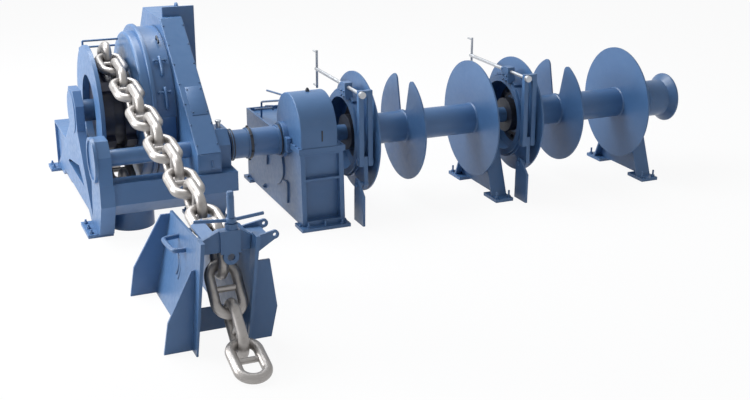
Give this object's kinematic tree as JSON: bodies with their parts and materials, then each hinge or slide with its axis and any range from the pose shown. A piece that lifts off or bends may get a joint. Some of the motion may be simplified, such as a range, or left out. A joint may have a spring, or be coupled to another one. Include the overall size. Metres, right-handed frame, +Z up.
{
  "type": "combined anchor windlass and mooring winch",
  "caption": "Deck machinery on feet: chain wheel with band brake case, gear case, chain stopper with studded chain, gearbox, split rope drums with band brakes, and a warping head on one shaft line",
  "frame": {"origin": "on the deck under the drum shaft, at the centre of the middle pedestal's foot bolts", "axes": "+X along the drum shaft towards the warping head, +Y away from the chain stopper, +Z up"},
  "size_m": [8.587, 7.7486, 2.595],
  "materials": {
    "anchor_chain": "bare steel",
    "brake_1_band": "blue deck paint",
    "brake_1_foot": "blue deck paint",
    "brake_1_levers": "blue deck paint",
    "brake_1_spindle": "bare steel",
    "brake_2_band": "blue deck paint",
    "brake_2_foot": "blue deck paint",
    "brake_2_levers": "blue deck paint",
    "brake_2_spindle": "bare steel",
    "brake_band_case": "blue deck paint",
    "chain_pipe": "blue deck paint",
    "chain_wheel": "blue deck paint",
    "clutch_ring_1": "blue deck paint",
    "clutch_ring_2": "blue deck paint",
    "coupling_sleeve": "blue deck paint",
    "drum_1_barrel": "blue deck paint",
    "drum_1_brake_flange": "blue deck paint",
    "drum_1_brake_rim": "blue deck paint",
    "drum_1_divider": "blue deck paint",
    "drum_1_end_flange": "blue deck paint",
    "drum_2_barrel": "blue deck paint",
    "drum_2_brake_flange": "blue deck paint",
    "drum_2_brake_rim": "blue deck paint",
    "drum_2_divider": "blue deck paint",
    "drum_2_end_flange": "blue deck paint",
    "end_pedestal": "blue deck paint",
    "front_cross_beam": "blue deck paint",
    "front_guard_bar": "blue deck paint",
    "gear_case_base": "blue deck paint",
    "gear_case_body": "blue deck paint",
    "gear_case_cover": "blue deck paint",
    "gearbox_body": "blue deck paint",
    "gearbox_cover": "blue deck paint",
    "main_shaft": "blue deck paint",
    "middle_pedestal": "blue deck paint",
    "rear_guard_bar": "blue deck paint",
    "shaft_left_bearing": "blue deck paint",
    "shaft_right_bearing": "blue deck paint",
    "stopper_cross_beam": "blue deck paint",
    "stopper_cross_plate": "blue deck paint",
    "stopper_left_side": "blue deck paint",
    "stopper_right_side": "blue deck paint",
    "stopper_screw": "blue deck paint",
    "stopper_sill": "blue deck paint",
    "warping_head": "blue deck paint",
    "wheel_left_bearing": "blue deck paint",
    "wheel_left_disc": "blue deck paint",
    "wheel_right_cheek": "blue deck paint",
    "wheel_shaft": "blue deck paint",
    "windlass_frame": "blue deck paint"
  },
  "bodies": {
    "deck_body": {"anchor_chain": "anchor_chain", "brake_1_band": "brake_1_band", "brake_1_foot": "brake_1_foot", "brake_1_levers": "brake_1_levers", "brake_2_band": "brake_2_band", "brake_2_foot": "brake_2_foot", "brake_2_levers": "brake_2_levers", "brake_band_case": "brake_band_case", "chain_pipe": "chain_pipe", "chain_wheel": "chain_wheel", "end_pedestal": "end_pedestal", "front_cross_beam": "front_cross_beam", "front_guard_bar": "front_guard_bar", "gear_case_base": "gear_case_base", "gear_case_body": "gear_case_body", "gear_case_cover": "gear_case_cover", "gearbox_body": "gearbox_body", "gearbox_cover": "gearbox_cover", "middle_pedestal": "middle_pedestal", "rear_guard_bar": "rear_guard_bar", "shaft_left_bearing": "shaft_left_bearing", "shaft_right_bearing": "shaft_right_bearing", "stopper_cross_beam": "stopper_cross_beam", "stopper_cross_plate": "stopper_cross_plate", "stopper_left_side": "stopper_left_side", "stopper_right_side": "stopper_right_side", "stopper_sill": "stopper_sill", "wheel_left_bearing": "wheel_left_bearing", "wheel_left_disc": "wheel_left_disc", "wheel_right_cheek": "wheel_right_cheek", "wheel_shaft": "wheel_shaft", "windlass_frame": "windlass_frame"},
    "main_shaft_body": {"main_shaft": "main_shaft", "warping_head": "warping_head", "coupling_sleeve": "coupling_sleeve", "clutch_ring_1": "clutch_ring_1", "clutch_ring_2": "clutch_ring_2"},
    "drum_1_body": {"drum_1_barrel": "drum_1_barrel", "drum_1_brake_flange": "drum_1_brake_flange", "drum_1_brake_rim": "drum_1_brake_rim", "drum_1_divider": "drum_1_divider", "drum_1_end_flange": "drum_1_end_flange"},
    "drum_2_body": {"drum_2_barrel": "drum_2_barrel", "drum_2_brake_flange": "drum_2_brake_flange", "drum_2_brake_rim": "drum_2_brake_rim", "drum_2_divider": "drum_2_divider", "drum_2_end_flange": "drum_2_end_flange"},
    "brake_1_screw": {"brake_1_spindle": "brake_1_spindle"},
    "brake_2_screw": {"brake_2_spindle": "brake_2_spindle"},
    "stopper_screw_body": {"stopper_screw": "stopper_screw"}
  },
  "joints": [
    {"name": "main_shaft_turn", "type": "hinge", "parent": "deck_body", "child": "main_shaft_body", "pos_m": [0, 0, 1.028], "axis": [1, 0, 0], "continuous": true},
    {"name": "drum_1_turn", "type": "hinge", "parent": "deck_body", "child": "drum_1_body", "pos_m": [-1.912, 0, 1.028], "axis": [1, 0, 0], "continuous": true},
    {"name": "drum_2_turn", "type": "hinge", "parent": "deck_body", "child": "drum_2_body", "pos_m": [0.494, 0, 1.028], "axis": [1, 0, 0], "continuous": true},
    {"name": "brake_1_turn", "type": "hinge", "parent": "deck_body", "child": "brake_1_screw", "pos_m": [-2.108, 0, 1.69], "axis": [0, 1, 0], "continuous": true},
    {"name": "brake_2_turn", "type": "hinge", "parent": "deck_body", "child": "brake_2_screw", "pos_m": [0.298, 0, 1.69], "axis": [0, 1, 0], "continuous": true},
    {"name": "stopper_screw_turn", "type": "hinge", "parent": "deck_body", "child": "stopper_screw_body", "pos_m": [-4.64813, -3.432, 1.3], "axis": [0, 0, 1], "continuous": true}
  ]
}
